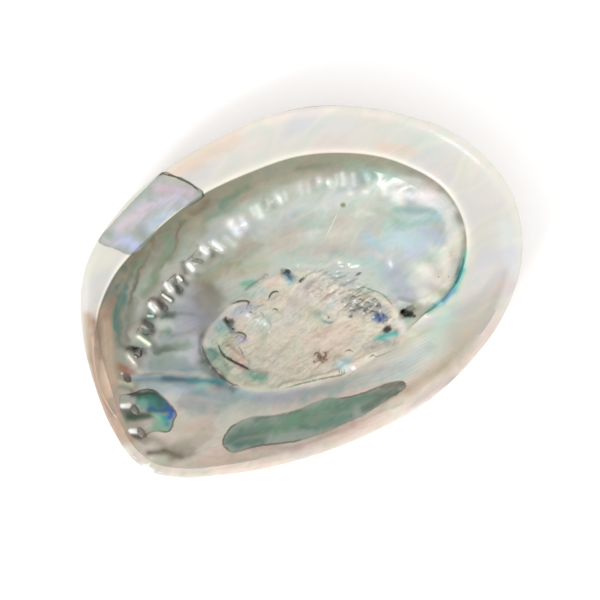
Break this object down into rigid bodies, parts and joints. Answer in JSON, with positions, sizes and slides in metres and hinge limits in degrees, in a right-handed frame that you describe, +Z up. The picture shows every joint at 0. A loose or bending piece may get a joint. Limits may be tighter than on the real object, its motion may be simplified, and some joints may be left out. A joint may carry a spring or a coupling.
{
  "type": "abalone shell",
  "caption": "Polished abalone shell lying on its back: an oval nacre bowl with a wide inner shelf, a curved row of breathing holes and a rough muscle scar on the floor",
  "frame": {"origin": "centre of the bounding box's base, on the surface the shell rests on", "axes": "+X along the shell's length from the front tip to the spire end, +Z up out of the mouth, +Y towards the inner shelf"},
  "size_m": [0.1492, 0.1102, 0.0388],
  "materials": {
    "nacre_shell": "polished mother-of-pearl with a soft gloss: pale silvery cream with pink, green and lavender tints"
  },
  "bodies": {
    "root": {"abalone_shell": "nacre_shell"}
  },
  "joints": []
}
